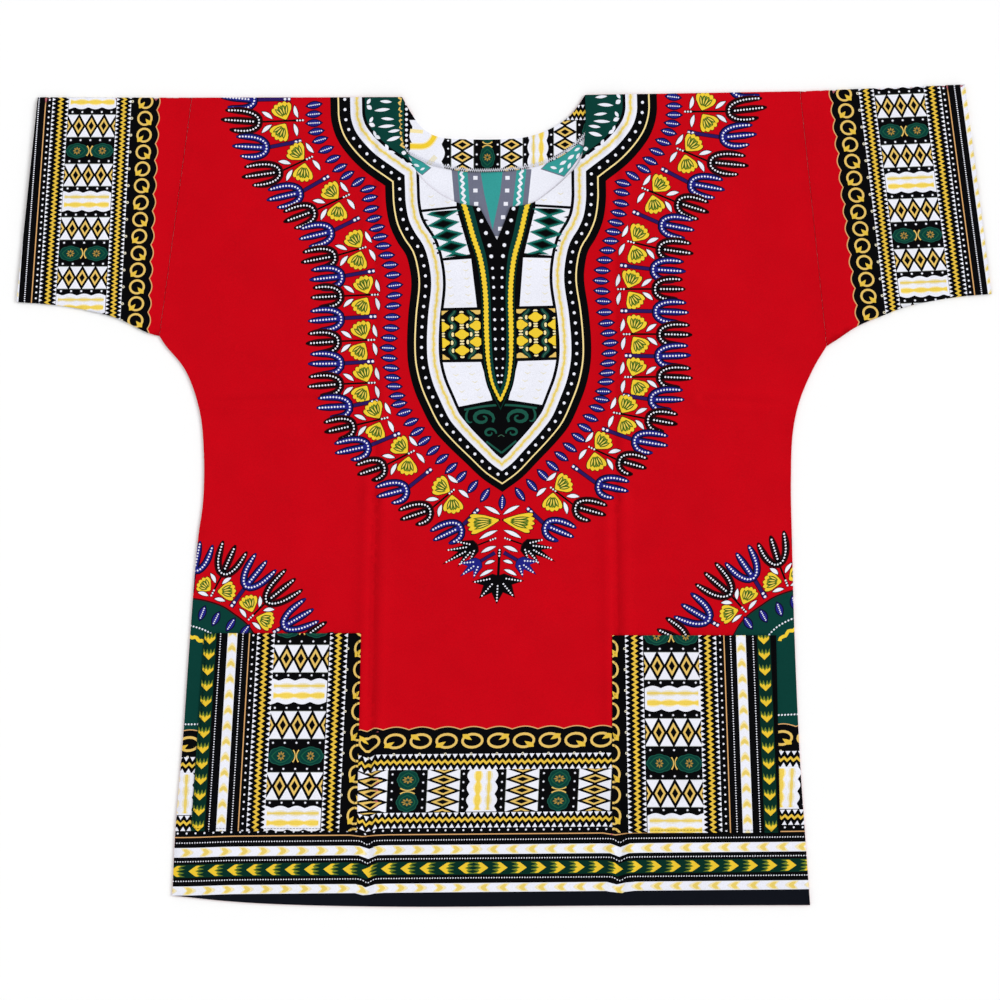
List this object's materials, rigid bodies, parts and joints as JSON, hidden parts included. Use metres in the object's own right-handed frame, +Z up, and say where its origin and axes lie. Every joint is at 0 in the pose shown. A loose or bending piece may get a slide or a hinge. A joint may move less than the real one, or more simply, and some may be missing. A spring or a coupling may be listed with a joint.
{
  "type": "dashiki shirt laid flat",
  "caption": "Loose pullover dashiki shirt laid flat, front up: round neck with a V slit, short wide sleeves, patch pockets at the hips and a straight hem.",
  "frame": {"origin": "centre of the bounding box's bottom face, on the surface that the shirt lies on", "axes": "+Z up out of the shirt's front, +Y towards the neck, +X to the right as seen from above, along the span of the sleeves"},
  "size_m": [0.914, 0.7711, 0.0057],
  "materials": {
    "front_cloth": "plain-weave cotton with a border print",
    "back_cloth": "plain-weave cotton, right side down",
    "facing_cloth": "plain-weave cotton with a block print, overlocked edge",
    "pocket_cloth": "plain-weave cotton with a border print",
    "sleeve_cloth": "plain-weave cotton with a border print"
  },
  "bodies": {
    "root": {"back": "back_cloth", "front": "front_cloth", "neck_facing": "facing_cloth", "pocket_left": "pocket_cloth", "pocket_right": "pocket_cloth", "sleeve_left": "sleeve_cloth", "sleeve_right": "sleeve_cloth"}
  },
  "joints": []
}
